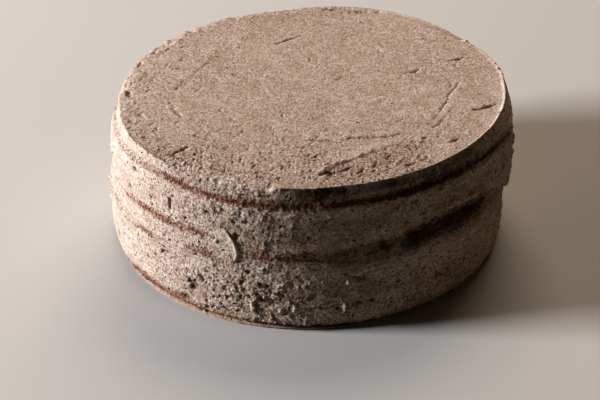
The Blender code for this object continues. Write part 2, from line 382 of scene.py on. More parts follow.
def strongest(azimuth, height, bands):
    return np.max([band(azimuth, height, *values) for values in bands], axis=0)


def line_level(azimuth):
    """Middle of the brown line under the top cream."""
    return 0.5 * (upper_coat_top(azimuth) + skirt_edge(azimuth))


def hollow_level(azimuth):
    """Middle of the dark strip where the scraper bridged the filling and the edges beside it."""
    return 0.5 * (lower_coat_top(azimuth) + upper_coat_bottom(azimuth))


def bareness_and_shade(azimuth, height):
    """How thin the cream is, 0 to about 1, where sponge shows through in spots; on the right it is also
    painted shade.
    """
    line, hollow = line_level(azimuth), hollow_level(azimuth)
    # The broad bands at about 34 to 42 degrees are painted shade on the side turned from the light; the
    # narrow ones along the lines and the foot are sponge showing through
    bands = (
        (line, 2.2, ((-32, 16, 0.06), (-72, 24, -0.4), (20, 30, 0.2), (150, 30, -0.3)), 0.64),
        (upper_coat_bottom(azimuth) + 0.4, 3.6, ((-44, 24, 0.4), (-3, 14, -0.2), (34, 26, -0.2)), 0.28),
        (lower_coat_top(azimuth) + 0.4, 2.6, ((-54, 8, 0.3), (-6, 16, 0.16), (22, 12, 0.16)), 0.26),
        (hollow + 0.8, 6, ((-8, 16, 0.66), (14, 14, 0.3))),
        (hollow, 8, ((41, 23, 0.85), (68, 12, 0.2))),
        (line + 2, 4.5, ((40, 30, 0.5),)),
        (5.5, 5, ((-60, 16, 0.64), (-42, 10, 0.48), (-26, 9, 0.34))),
        (2.6, 3, ((-64, 20, 0.8), (-34, 20, 0.7), (4, 26, 0.55))),
        (77, 3, ((-15, 7, 0.5),)),
        (35, 3.4, ((-53, 8, 0.66), (50, 16, 0.45))),
        (38, 3.4, ((-30, 10, 0.6),)),
        (76.5, 4.5, ((34, 34, 0.35),)),
        (17, 15, ((42, 32, 0.44),)),
        (58, 7, ((36, 30, 0.36),)),
    )
    return strongest(azimuth, height, bands) * (0.75 + 0.5 * patchy(azimuth, height, 6, 21))


def painted_shade(azimuth, height):
    """Painted shade, 0 to about 1: how far cream and crumb are darkened where the side is turned from the
    light.
    """
    line, hollow = line_level(azimuth), hollow_level(azimuth)
    # Painted shade: bands on the right and the front, under the lip and at the foot, where the side lies in
    # shade
    bands = (
        (line + 1, 5, ((42, 40, 0.85), (-5, 14, 0.45))),
        (hollow, 9, ((42, 24, 1.0), (12, 24, 0.6))),
        (76.5, 5.5, ((34, 38, 0.8), (-1, 11, 0.75))),
        (57, 12, ((34, 38, 0.48), (-5, 17, 0.4))),
        (24, 9, ((12, 22, 0.34),)),
        (1.5, 3, ((46, 40, 0.7), (0, 20, 0.35))),
    )
    blotches = 0.55 * patchy(azimuth, height, 7, 27) + 0.45 * patchy(azimuth, height, 2.4, 28)
    return strongest(azimuth, height, bands) * (0.2 + 1.6 * blotches)


def coat(name, core, bottom, top, radius, bottom_inset, top_inset, marks, seed):
    """A scraped coat of cream on a core, thinned to two ragged edges, each inset to the layer it meets."""
    low = bottom(AZIMUTHS) + ragged(AZIMUTHS, 1.2, seed)
    high = top(AZIMUTHS) + ragged(AZIMUTHS, 1.2, seed + 2)
    full = radius(AZIMUTHS)
    rise = high - low
    corner = 0.15 * (1 - flushness(AZIMUTHS))
    controls = section(
        (core - EMBED, low + 0.9),
        (full - bottom_inset - 1.2, low + 0.2),
        (full - bottom_inset - corner, low + 0.3),
        (full - 0.35 * bottom_inset - 0.05, low + 1.2 + 1.2 * bottom_inset),
        (full, low + 0.34 * rise),
        (full + 0.1, low + 0.6 * rise),
        (full - 0.35 * top_inset - 0.05, high - 1.2 - 1.6 * top_inset),
        (full - top_inset - 0.15, high - 0.3),
        (full - top_inset - 1.2, high - 0.2),
        (core - EMBED, high - 0.9),
    )
    rows = int(rise.mean() / COAT_ROW_SPACING) + 14  # 14 for the edges, which turn in
    outer = spline(controls, even_steps(controls, rows))
    back = core - 2 * EMBED
    inner = section((back, high - 2), (back, 0.5 * (low + high)), (back, low + 2))
    return ring(name, outer, inner, marks)


def upper_coat():
    edges = (upper_coat_bottom, upper_coat_top, upper_coat_radius)
    insets = (filling_inset(AZIMUTHS), line_inset(AZIMUTHS))
    return coat("cream_upper_coat", core_radius(AZIMUTHS), *edges, *insets, UPPER_MARKS, 11)


def lower_coat():
    core = core_radius(AZIMUTHS) + swell(AZIMUTHS, BOTTOM_SPONGE_SWELLS)
    foot_inset = 0.8 + swell(AZIMUTHS, ((78, 34, 0.7), (-84, 28, 2.0)))
    edges = (lower_coat_bottom, lower_coat_top, lower_coat_radius)
    insets = (foot_inset, filling_inset(AZIMUTHS))
    return coat("cream_lower_coat", core, *edges, *insets, LOWER_MARKS, 41)


def layer_disc(name, rows, exposed, rough=0.9, side_swells=(), foot_swells=()):
    """A layer that runs through the cake: rows of (radius, height, shown) from its base up its side.

    exposed is 0 where the coats hide the side, and 1 where it bulges out to where the scraper passed.
    """
    low, high = rows[0][1], rows[-1][1]
    rows = [(HUB_RADIUS, low, 0)] + rows + [(HUB_RADIUS, high, 0)]
    run = np.broadcast_to(np.array(rows, float), (COLUMNS, len(rows), 3))
    turn, radius, height = unrolled(AZIMUTHS, run)
    side = radius == CORE_RADIUS
    foot = ~side & (radius > HUB_RADIUS)
    radius = radius + side * swell(turn, CORE_SWELLS + side_swells) + foot * swell(turn, foot_swells)
    radius = radius + side * exposed(turn, height) * (scraped_radius(turn, height) - radius)
    count = len(rows)
    centre = COLUMNS * count
    side_points = around(turn, radius, height).reshape(-1, 3)
    points = np.concatenate([side_points, [(0, 0, low), (0, 0, high)]])
    faces = list(loop_faces(COLUMNS, count, closed_rows=False))
    for column in range(COLUMNS):
        beside = (column + 1) % COLUMNS
        faces.append((beside * count, column * count, centre))
        faces.append((column * count + count - 1, beside * count + count - 1, centre + 1))
    values = {key: joined(value, (0, 0)) for key, value in side_values(turn, height).items()}
    values["rough"] = np.maximum(rough, values["rough"])
    shown = joined(run[..., 2], (0, 0))
    return new_mesh(name, points, faces, shown=shown, stroke=points * AROUND, **values)


def side_rows(*stretches):
    """Rows up the side of a layer from stretches of (start, end, spacing): the close ones show."""
    rows = []
    for start, end, spacing in stretches:
        levels = np.linspace(start, end, max(1, round((end - start) / spacing)), endpoint=False)
        rows += [(CORE_RADIUS, level, float(spacing < 1)) for level in levels]
    return rows + [(CORE_RADIUS, stretches[-1][1], 1.0)]


def top_sponge():
    def exposed(azimuth, height):
        line, strip = upper_coat_top(azimuth), upper_coat_bottom(azimuth)
        at_line = smooth_step(height, line - 2.4, line - 0.8)
        return at_line + 1 - smooth_step(height, strip + 0.8, strip + 2.4)

    side = side_rows(
        (TOP_SPONGE_BOTTOM, 56, ROW_SPACING), (56, 59, 3), (59, TOP_SPONGE_TOP, ROW_SPACING)
    )
    return layer_disc("sponge_top_layer", side, exposed)


def bottom_sponge():
    def exposed(azimuth, height):
        edge = lower_coat_top(azimuth)
        return smooth_step(height, edge - 2.4, edge - 0.8)

    side = side_rows(
        (FOOT_HEIGHT, 6, ROW_SPACING), (6, 28, 5.5), (28, BOTTOM_SPONGE_THICKNESS, ROW_SPACING)
    )
    inward = ((1.2, 0.0), (0.5, 0.3), (0.0, 0.7), (0.0, 1.1), (0.4, 1.4), (1.2, 1.6), (1.7, 1.9))
    foot = [(FOOT_RADIUS - step, level, 0.3 * (level > 0)) for step, level in inward]
    swells = (BOTTOM_SPONGE_SWELLS, FOOT_SWELLS)
    return layer_disc("sponge_bottom_layer", foot + side, exposed, 0.9, *swells)


def filling():
    side = side_rows((FILLING_BOTTOM, FILLING_TOP, ROW_SPACING))
    return layer_disc("cream_filling", side, lambda azimuth, height: 1.0, rough=0.6)


def disc_grid():
    """Points of a square grid bent into a unit disc of even cells, and its edge's points in order."""
    count = TOP_CELLS + 1
    line = np.linspace(-1, 1, count)
    a, b = np.meshgrid(line, line, indexing="ij")
    wide = np.abs(a) > np.abs(b)
    radius = np.where(wide, a, b)
    safe = np.where(radius == 0, 1, radius)
    angle = np.where(wide, math.pi / 4 * b / safe, math.pi / 2 - math.pi / 4 * a / safe)
    radius = radius * (1.15 - 0.15 * radius**2)  # smaller cells towards the rim, where the marks are
    points = np.stack([radius * np.cos(angle), radius * np.sin(angle)], axis=-1).reshape(-1, 2)
    index = np.arange(count * count).reshape(count, count)
    edge = np.concatenate([index[:-1, 0], index[-1, :-1], index[:0:-1, -1], index[0, :0:-1]])
    corners = (index[:-1, :-1], index[1:, :-1], index[1:, 1:], index[:-1, 1:])
    return points, np.stack(corners, axis=-1).reshape(-1, 4), edge


TOP_GASHES = (  # path, width, depth
    (((-17, 53), (-9, 59), (-3, 62.5)), 1, 0.9), (((27, 40), (31.5, 40.6)), 1, 0.6),
    (((37, 41.8), (45, 37.5), (59, 35)), 0.9, 0.4), (((50.7, 15), (55.4, 16), (57.5, 20)), 1, 1),
    (((74, 28.5), (82, 31)), 1.4, 1.1), (((78.5, 7), (71, -7.5), (65.5, -25.5), (60.8, -36)), 0.65, 0.6),
    (((66.5, -33.5), (63, -39.5), (58.8, -45)), 0.7, 0.6), (((72.7, 3), (71, -2.5)), 0.9, 0.5),
    (((81, -27), (85.5, -25.3), (93.3, -21.5)), 2, 1.2), (((67, -58.3), (72, -54)), 1.5, 1.2),
    (((-3, -52.7), (4, -53.6), (11, -53.4)), 1, 0.6),
    (((17, -53), (25, -50.8), (34.5, -52), (44, -49), (47.5, -47.8)), 1.2, 0.9),
    (((4.7, -86), (7.2, -84.7), (13, -85)), 2, 1.6), (((8, -78), (11, -76)), 1.4, 1),
    (((14, -83), (17, -81.5), (20, -79)), 1.3, 1), (((22, -86), (25, -82)), 1.4, 1),
    (((29, -80), (31, -75)), 1.3, 0.8), (((36, -74), (38, -70)), 1.3, 0.7),
    (((44.5, -80), (49, -77)), 1.3, 0.9), (((52, -75), (55.5, -72.5)), 1.3, 0.9),
    (((-66.5, -64.5), (-63, -60), (-59, -56)), 1.1, 1.1), (((-90, 31), (-89.5, 37)), 3, 0.9),
    (((-93, 4), (-91.5, -1)), 3.4, 1), (((24, 90.5), (33, 90)), 2.2, 1.2),
    (((9, 95.5), (16, 95)), 2, 0.8), (((38, 89.5), (40, 89.5)), 1.6, 0.7),
    (((-68, 7.5), (-60.4, 18), (-56, 27.5), (-50.5, 35)), 0.8, 0.3), (((32, -17), (39, -13)), 0.8, 0.4),
    (((11, 6), (18, 13)), 0.8, 0.3),
)
COMMA_PLACES = (
    (-49, -32), (-57, -37), (-80, -25), (-47, -67), (-37, -72), (-42, -80), (-33, -71), (-13, -51), (0, -51),
    (-6, -76), (-10, -74), (0, -82), (-1, -89), (-34, -83), (-80, 19), (-84, 12), (-75, -2), (-83, -5),
    (-33, 5), (-53, 79), (-31, 84), (-13, 94), (61, 16), (69, 29), (76, 23),
)
COMMAS = 260
CRUMBS_ON_TOP = 0.06  # how many crumbs lie on the flat top beside the side's
TOP_SCRAPES = (  # path, width, step up on the left of the path
    (((-69, 5), (-59, 20), (-51, 39), (-44, 58)), 5, 0.15),
    (((3, -87), (10, -80), (20, -73), (31, -65), (50, -55)), 6, 0.5),
    (((-71, -15), (-68, -22), (-64, -27)), 2.5, -0.6),
    (((80, 14), (74, -3), (66, -30), (60, -42)), 4, 0.1), (((-20, -40), (10, -47), (46, -44)), 6, 0.2),
    (((20, 70), (45, 60), (70, 40)), 5, -0.2),
)
TOP_RIDGES = (  # path, width, height
    (((3.4, -84), (7, -80), (11.3, -76.5), (16, -74)), 1.6, 0.8),
    (((20, -72), (25, -68), (29.3, -64.5)), 1.6, 0.5), (((12, -87), (18, -85), (24, -84)), 1.6, 0.5),
    (((40, -79), (43, -72)), 1.5, 0.5), (((49, -74), (51, -68)), 1.5, 0.5),
    (((-71, -14), (-68.5, -20), (-65, -26)), 1.6, 0.5), (((-50, -33), (-51, -42), (-52, -50)), 1.6, 0.3),
)
TOP_LUMPS = (  # x, y, width, size
    (-63.5, 77.6, 3.4, 1.3), (84.8, 51.4, 3, 1.1), (-71.6, 67.6, 2.4, -0.9), (-60, -28, 4, 0.4),
    (-13.5, -51.4, 1.6, 0.6), (0, -51.5, 1.6, 0.6),
)


def commas():
    """Short tears that the knife dragged open, slanting one way, most of them at the front and the left."""
    random = np.random.default_rng(12)
    places = list(COMMA_PLACES)
    while len(places) < COMMAS:
        x, y = random.uniform(-TOP_REACH, TOP_REACH, 2)
        front = smooth_step(-y, 10, 75) * (1 - 0.75 * smooth_step(x, 0, 60))
        left = smooth_step(-x, 55, 88)
        if math.hypot(x, y) < TOP_REACH and random.uniform() < 0.06 + 0.94 * max(front, left):
            places.append((x, y))
    marks = []
    for x, y in places:
        angle = math.radians(random.normal(66, 16))
        half = 0.5 * random.uniform(1.0, 3.6)
        reach = (half * math.cos(angle), half * math.sin(angle))
        path = ((x - reach[0], y - reach[1]), (x + reach[0], y + reach[1]))
        marks.append((path, random.uniform(0.6, 1.0), random.uniform(0.25, 0.65)))
    return tuple(marks)


def top_relief(flat):
    """Height of the scraped top's own marks over the level, and how deep in a mark each point is, 0 to 1."""
    deep = np.pad(flat, ((0, 0), (0, 1)))
    warped = flat + 0.7 * np.stack([noise(deep, 3.0, 61), noise(deep, 3.0, 62)], axis=1)
    warped += 0.35 * np.stack([noise(deep, 1.2, 63), noise(deep, 1.2, 64)], axis=1)
    height = np.zeros(len(flat))
    hollow = np.zeros(len(flat))
    for path, width, depth in TOP_GASHES + commas():
        low, high = np.min(path, axis=0) - 5, np.max(path, axis=0) + 5
        near = np.flatnonzero(((warped > low) & (warped < high)).all(axis=1))
        distance, along, _ = path_distance(warped[near], path)
        half = 0.5 * width * (0.55 + 0.45 * np.sin(np.pi * np.clip(along, 0.05, 0.95)))
        inside = 1 - smooth_step(distance, 0.3 * half, 1.5 * half)
        rim = np.exp(-(((distance - 2.0 * half) / (0.6 * width)) ** 2))
        height[near] += 0.3 * depth * rim * noise(deep[near], 2.4, 65) - depth * inside
        # How deep in a gash each point is: the material paints shade into the gashes from it
        hollow[near] = np.maximum(hollow[near], inside * min(1, 1.4 * depth))
    for path, width, size in TOP_RIDGES:
        distance, _, _ = path_distance(warped, path)
        crest = np.exp(-((distance / (0.5 * width)) ** 2)) * (0.75 + 0.5 * noise(deep, 2.6, 66))
        height += size * crest
    for path, width, step in TOP_SCRAPES:
        distance, along, left = path_distance(warped, path)
        faded = np.clip(8 * along * (1 - along), 0, 1)
        height += step * np.exp(-((distance / width) ** 2)) * left * faded
    for x, y, width, size in TOP_LUMPS:
        height += size * np.exp(-(((warped - (x, y)) ** 2).sum(axis=1)) / (0.5 * width) ** 2)
    return height, hollow


def crispness(azimuth):
    """1 where the knife left a crisp lip, and 0 where the edge is rounded and torn."""
    turn = turn_from(azimuth, 0)
    front = smooth_step(turn, -52, -36) * (1 - smooth_step(turn, -12, -9))
    behind = swell(azimuth, ((-96, 14, 0.6), (-130, 22, 0.8), (-168, 18, 0.7), (125, 16, 0.5)))
    return np.clip(1 - np.maximum(front, behind), 0, 1)


def smooth_lip(azimuth):
    """Plan of the lip: nearly straight stretches between soft corners."""
    plan = LIP_RADIUS + swell(azimuth, LIP_RADIUS_SWELLS) - 1.0 + 1.5 * crispness(azimuth)
    return plan + 0.5 * noise(around(azimuth, LIP_RADIUS, 0.0), 14, 71)


def nicks(azimuth):
    """Small nicks and tags along the lip, most of all where the knife left it torn."""
    rim = around(azimuth, LIP_RADIUS, 0.0)
    torn = 0.15 + 0.8 * (1 - crispness(azimuth)) + swell(azimuth, ((2, 10, 1.2), (-68, 16, 0.5)))
    return torn * (0.5 * noise(rim, 3.2, 72) + 0.5 * noise(rim, 1.4, 73))


def top_cream():
    """The flat top, its lip, the skirt over the side, and an underside that sits on the sponge."""
    unit, faces, edge = disc_grid()
    azimuth = np.degrees(np.arctan2(unit[edge, 0], -unit[edge, 1]))
    all_azimuths = np.degrees(np.arctan2(unit[:, 0], -unit[:, 1]))
    flat = unit * (smooth_lip(all_azimuths) + nicks(all_azimuths))[:, None]
    inward = LIP_RADIUS * (1 - np.hypot(unit[:, 0], unit[:, 1]))
    crisp = crispness(all_azimuths)
    level = CAKE_HEIGHT + swell(all_azimuths, LIP_RIDGE_SWELLS) * np.exp(-inward / 3)
    level += swell(all_azimuths, ((-80, 34, -0.9),)) * np.exp(-inward / 9)
    fin = 0.7 + swell(all_azimuths, ((52, 26, 0.5), (-76, 30, -0.6)))
    level += crisp * (0.15 * np.exp(-inward / 5) + fin * np.exp(-((inward / 0.7) ** 2)))
    level -= (1 - crisp) * 1.9 * np.exp(-inward / 2.2)
    lumps = 0.35 * (1 - crisp) + swell(all_azimuths, ((-128, 34, 1.1),))
    level += lumps * np.exp(-inward / 5) * noise(around(all_azimuths, LIP_RADIUS - inward, 0.0), 3.4, 67)
    relief, hollow = top_relief(flat)
    level += relief
    top = np.concatenate([flat, level[:, None]], axis=1)

    bottom_edge = skirt_edge(azimuth) + ragged(azimuth, 1.1, 81)
    core, skirt = core_radius(azimuth), skirt_radius(azimuth)
    lip, rim_level, crisp_lip = smooth_lip(azimuth), level[edge], crisp[edge]
    nick = nicks(azimuth)
    drop = rim_level - bottom_edge
    round_lip = 1 - crisp_lip
    controls = section(
        (lip + nick, rim_level),
        (lip + 0.3 * nick + 0.35 + 0.9 * round_lip, rim_level - 0.3 - 0.3 * round_lip),
        (lip + 0.5 + 1.9 * round_lip, rim_level - 1.2 - 0.4 * round_lip),
        (0.5 * (lip + skirt) + 0.3, rim_level - 0.45 * drop),
        (skirt - 0.1, bottom_edge + 0.25 * drop),
        (skirt - 0.7, bottom_edge + 0.2),
        (skirt - 1.8, bottom_edge + 0.1),
        (core - EMBED, bottom_edge + 0.8),
    )
    shoulder = spline(controls, even_steps(controls, 20))[:, 1:]
    under = section(
        (core - 2 * EMBED, bottom_edge + 1.5),
        (core - 2 * EMBED, TOP_CREAM_BOTTOM),
        (CREAM_HUB_RADIUS, TOP_CREAM_BOTTOM),
    )
    run = np.concatenate([shoulder, under], axis=1)
    rows = run.shape[1]
    turn, radius, height = unrolled(azimuth, run)
    fading = (0.6, 0.3, 0, 0, 0, 0)  # how far the last rows show, where the skirt turns under
    open_rows = rows - len(fading)
    mark = side_marks(turn, height, SKIRT_MARKS) * (np.arange(rows) < open_rows)
    side = around(turn, radius + mark, height)

    columns = len(edge)
    start = len(top)
    below = start + np.arange(columns * rows).reshape(columns, rows)
    number = np.concatenate([edge[:, None], below], axis=1)
    beside = np.roll(number, -1, axis=0)
    quads = np.stack([number[:, :-1], number[:, 1:], beside[:, 1:], beside[:, :-1]], axis=-1).reshape(-1, 4)
    pole = start + columns * rows
    fan = [(number[column, -1], pole, beside[column, -1]) for column in range(columns)]

    side_shown = joined(np.ones(open_rows), fading)
    upright = np.clip(swell(turn, ((30, 34, 1.0),)), 0, 1)[..., None]
    side_stroke = side * (AROUND * (1 - upright) + UPWARD * upright)
    # Painted shadow: the torn strip below the front seam's step is browned, along with being rougher
    on_top = dict(rough=top_roughness(flat), bare_and_shade=0.35 * torn_corner(flat), damp=np.zeros(start))
    on_side = side_values(turn, height)
    return new_mesh(
        "cream_top", joined(top, side, (0, 0, TOP_CREAM_BOTTOM)), list(faces) + list(quads) + fan,
        shown=joined(np.ones(start), np.tile(side_shown, columns), 0),
        mark=joined(hollow, np.clip(-mark, 0, 1), 0),
        stroke=joined(top * (0.3, 0.5, 0.0), side_stroke, (0, 0, 0)),
        **{key: joined(value, on_side[key], 0) for key, value in on_top.items()},
    )


def torn_corner(flat):
    """1 in the torn, sunken strip between the front seam and the lip, and 0 elsewhere."""
    seam = smooth_step(0.66 * flat[:, 0] - flat[:, 1], 86, 90)
    return seam * smooth_step(flat[:, 0], 2, 8) * (1 - smooth_step(flat[:, 0], 46, 66))


def top_roughness(flat):
    """Smooth where the last pass of the palette knife went, rougher towards the front and the left rim."""
    radius = np.hypot(flat[:, 0], flat[:, 1])
    front = smooth_step(-flat[:, 1], 20, 80)
    rim = smooth_step(radius, 80, 97)
    deep = np.pad(flat, ((0, 0), (0, 1)))
    right = smooth_step(flat[:, 0], -10, 50)
    torn = 0.45 - 0.1 * right + 0.36 * front * (1 - 0.3 * right) + 0.2 * rim * (1 - right)
    torn = torn + 0.35 * torn_corner(flat)
    return np.clip(torn + 0.2 * noise(deep, 22, 91), 0.1, 1.4)


def swiped_cream():
    """The last stroke of cream: flush with the coats, where it feathers out, up to a raised, curved fold."""
    along_steps, across_steps = 220, 44
    line = np.linspace(0, 1, along_steps)
    along = (0.55 * line + 0.45 * (1 - (1 - line) ** 2))[:, None]  # closer steps towards the fold
    across = np.linspace(-1, 1, across_steps)[None, :]
    near_end = smooth_step(along, 0.72, 0.97)
    middle = SWIPE_START + (SWIPE_END - SWIPE_START) * along
    azimuth = middle - near_end * 2.4 * (across + 0.2) ** 2
    low, high = lower_coat_top(middle) - 1.5, upper_coat_bottom(middle) + 1.5
    bottom = low + near_end * (FOLD_BOTTOM - low)
    top = high + near_end * (FOLD_TOP - high)
    level, reach = 0.5 * (bottom + top), 0.5 * (top - bottom)
    height = level + reach * across
    to_end = (1 - along) * (SWIPE_END - SWIPE_START) * math.radians(1) * CORE_RADIUS
    wall = scraped_radius(azimuth, height) + filling_inset(azimuth)
    feather = 1 - np.abs(across) ** 8
    fold = 0.85 * np.exp(-(((to_end - 1.1) / 1.3) ** 2)) * np.clip(1 - across**2, 0, 1) ** 0.6
    crest = wall - 0.4 + (0.5 + 0.45 * near_end) * feather + fold
    root = CORE_RADIUS - EMBED
    blunt = 1 - np.exp(-to_end / 0.35)
    radius = root + (crest - root) * blunt * smooth_step(along, -0.06, 0.08)
    front = around(azimuth, radius, height)
    back_rows = np.array([[0.6, 0.0, -0.6]])
    back = around(middle - 1.4 * near_end, root - 1.0, level + reach * back_rows)
    points = np.concatenate([front, back], axis=1)
    rows = points.shape[1]
    faces = list(loop_faces(along_steps, rows, closed_columns=False))
    faces.append(tuple(range(rows)[::-1]))
    faces.append(tuple((along_steps - 1) * rows + row for row in range(rows)))
    values = dict(
        shown=np.clip(blunt + 0 * across, 0, 1),
        rough=side_roughness(azimuth, height) * (1 - 0.4 * near_end),
        bare_and_shade=bareness_and_shade(azimuth, height) * (1 - 0.5 * near_end),
        damp=0 * azimuth,
    )
    hidden = np.zeros((along_steps, back_rows.size))
    values = {key: np.concatenate([value, hidden], axis=1) for key, value in values.items()}
    return new_mesh("cream_swipe", points, faces, stroke=points * AROUND, **values)


# Geometry Nodes

MATH, VECTOR_MATH, MAP_RANGE = "ShaderNodeMath", "ShaderNodeVectorMath", "ShaderNodeMapRange"
NOISE, MIX, NAMED = "ShaderNodeTexNoise", "ShaderNodeMix", "GeometryNodeInputNamedAttribute"
NUMBER, MATERIAL = "NodeSocketFloat", "NodeSocketMaterial"


def wire(tree, node, wires):
    """Gives each named input a value, the first output in use of another node, or (node, output)."""
    for name, value in wires.items():
        if isinstance(value, bpy.types.Node):
            tree.links.new(next(output for output in value.outputs if output.enabled), node.inputs[name])
        elif isinstance(value, tuple) and isinstance(value[0], bpy.types.Node):
            tree.links.new(value[0].outputs[value[1]], node.inputs[name])
        else:
            node.inputs[name].default_value = value


def add(tree, kind, wires=(), operation=None, **settings):
    """Adds a node with its settings, and wires its inputs."""
    node = tree.nodes.new(kind)
    if operation:
        node.operation = operation
    for name, value in settings.items():
        setattr(node, name, value)
    wire(tree, node, dict(wires))
    return node


def new_tree(name, **inputs):
    """A Geometry Nodes tree and the node of its inputs: a geometry, and a named one for each of inputs."""
    tree = bpy.data.node_groups.new(name, "GeometryNodeTree")
    tree.interface.new_socket("Geometry", in_out="INPUT", socket_type="NodeSocketGeometry")
    for label, kind in inputs.items():
        tree.interface.new_socket(label.replace("_", " ").title(), in_out="INPUT", socket_type=kind)
    tree.interface.new_socket("Geometry", in_out="OUTPUT", socket_type="NodeSocketGeometry")
    return tree, add(tree, "NodeGroupInput")


def finish_tree(tree, source, geometry):
    """Ends a tree: its instances become real, and its faces get the material."""
    real = add(tree, "GeometryNodeRealizeInstances", {"Geometry": geometry})
    painted = add(tree, "GeometryNodeSetMaterial", {"Geometry": real, "Material": (source, "Material")})
    add(tree, "NodeGroupOutput", {"Geometry": painted})
    return tree


def relief_tree():
    """Roughens a surface as scraped whipped cream or cake crumb is, with sizes and depths in millimetres.

    Lumps are broad, strokes follow the knife, and grain is fine. Tears are flat-bottomed hollows with
    ragged rims, with clots of what was torn out standing between them, and pits are holes. "rough" sets
    how torn a place is, "shown" where it can be seen, and "mark" the depth of marks made already. How deep
    each point ends up in a tear, pit or mark is kept, and the material paints shade into the hollows from
    it.
    """
    tree, source = new_tree(
        "torn_relief",
        lump_size=NUMBER, lump_depth=NUMBER, stroke_size=NUMBER, stroke_depth=NUMBER,
        tear_size=NUMBER, tear_depth=NUMBER, tear_level=NUMBER, grain_size=NUMBER, grain_depth=NUMBER,
        pit_spacing=NUMBER, pit_depth=NUMBER, seed=NUMBER, material=MATERIAL,
    )
    metres = add(tree, "GeometryNodeInputPosition")
    place = add(tree, VECTOR_MATH, {0: metres, "Scale": PER_METRE}, "SCALE")
    drag = add(tree, NAMED, {"Name": "stroke"}, data_type="FLOAT_VECTOR")
    rough, shown, marked = [
        add(tree, NAMED, {"Name": name}, data_type="FLOAT") for name in ("rough", "shown", "mark")
    ]
    bend = add(tree, NOISE, {"Vector": place, "Scale": 0.6, "Detail": 2.0})
    bent = add(tree, VECTOR_MATH, {0: (bend, "Color"), 1: (3.2,) * 3, 2: place}, "MULTIPLY_ADD")

    waves = {}
    kinds = (("Lump", place, 1), ("Stroke", drag, 2), ("Tear", bent, 3), ("Grain", place, 2))
    for kind, vector, detail in kinds:
        scale = add(tree, MATH, {0: 1.0, 1: (source, kind + " Size")}, "DIVIDE")
        waves[kind] = add(
            tree, NOISE,
            {"Vector": vector, "W": (source, "Seed"), "Scale": scale, "Detail": detail, "Roughness": 0.62},
            noise_dimensions="4D",
        )
    lump, stroke, grain = [
        add(
            tree, MATH,
            {0: add(tree, MATH, {0: waves[kind], 1: 2.0, 2: -1.0}, "MULTIPLY_ADD"),
             1: (source, kind + " Depth")},
            "MULTIPLY",
        )
        for kind in ("Lump", "Stroke", "Grain")
    ]

    level = (source, "Tear Level")
    brink = add(tree, MATH, {0: rough, 1: -0.11, 2: level}, "MULTIPLY_ADD")
    floor = add(tree, MATH, {0: brink, 1: 0.07}, "ADD")
    high = add(tree, MATH, {0: 1.0, 1: brink}, "SUBTRACT")
    top = add(tree, MATH, {0: high, 1: -0.08}, "ADD")
    tear, clot = [
        add(
            tree, MAP_RANGE, {"Value": waves["Tear"], "From Min": start, "From Max": full},
            interpolation_type="SMOOTHSTEP",
        )
        for start, full in ((brink, floor), (high, top))
    ]
    depth = add(tree, MATH, {0: rough, 1: 0.45, 2: 0.4}, "MULTIPLY_ADD")
    depth = add(tree, MATH, {0: depth, 1: (source, "Tear Depth")}, "MULTIPLY")
    torn = add(tree, MATH, {0: clot, 1: -1.5, 2: tear}, "MULTIPLY_ADD")
    torn = add(tree, MATH, {0: torn, 1: depth}, "MULTIPLY")

    spacing = add(tree, MATH, {0: 1.0, 1: (source, "Pit Spacing")}, "DIVIDE")
    cells = add(
        tree, "ShaderNodeTexVoronoi", {"Vector": bent, "W": (source, "Seed"), "Scale": spacing},
        voronoi_dimensions="4D",
    )
    draw = add(tree, "FunctionNodeSeparateColor", {"Color": (cells, "Color")})
    reach = add(tree, MATH, {0: (draw, "Red"), 1: 0.36, 2: 0.10}, "MULTIPLY_ADD")
    heart = add(tree, MATH, {0: reach, 1: 0.4}, "MULTIPLY")
    hollow = add(
        tree, MAP_RANGE,
        {"Value": (cells, "Distance"), "From Min": heart, "From Max": reach, "To Min": 1.0, "To Max": 0.0},
        interpolation_type="SMOOTHSTEP",
    )
    strength = add(tree, MATH, {0: (draw, "Green"), 1: 2.0}, "POWER")
    pit = add(tree, MATH, {0: hollow, 1: strength}, "MULTIPLY")
    pit = add(tree, MATH, {0: pit, 1: rough}, "MULTIPLY")
    sunk = add(tree, MATH, {0: pit, 1: (source, "Pit Depth"), 2: torn}, "MULTIPLY_ADD")

    # Depth in the hollows, which the material darkens as painted shade
    cavity = add(tree, MATH, {0: tear, 1: 0.45, 2: marked}, "MULTIPLY_ADD")
    cavity = add(tree, MATH, {0: cavity, 1: pit}, "ADD")

    coarse = add(tree, MATH, {0: rough, 1: 0.6, 2: tear}, "MULTIPLY_ADD")
    height = add(tree, MATH, {0: grain, 1: coarse, 2: lump}, "MULTIPLY_ADD")
    smooth = add(tree, MATH, {0: 1.4, 1: rough}, "SUBTRACT", use_clamp=True)
    height = add(tree, MATH, {0: stroke, 1: smooth, 2: height}, "MULTIPLY_ADD")
    height = add(tree, MATH, {0: height, 1: sunk}, "SUBTRACT")
    masked = add(tree, MATH, {0: height, 1: shown}, "MULTIPLY")
    rise = add(tree, MATH, {0: masked, 1: MM}, "MULTIPLY")
    normal = add(tree, "GeometryNodeInputNormal")
    offset = add(tree, VECTOR_MATH, {0: normal, "Scale": rise}, "SCALE")

    noted = add(
        tree, "GeometryNodeStoreNamedAttribute",
        {"Geometry": (source, "Geometry"), "Name": "cavity", "Value": cavity},
    )
    moved = add(tree, "GeometryNodeSetPosition", {"Geometry": noted, "Offset": offset})
    return finish_tree(tree, source, moved)


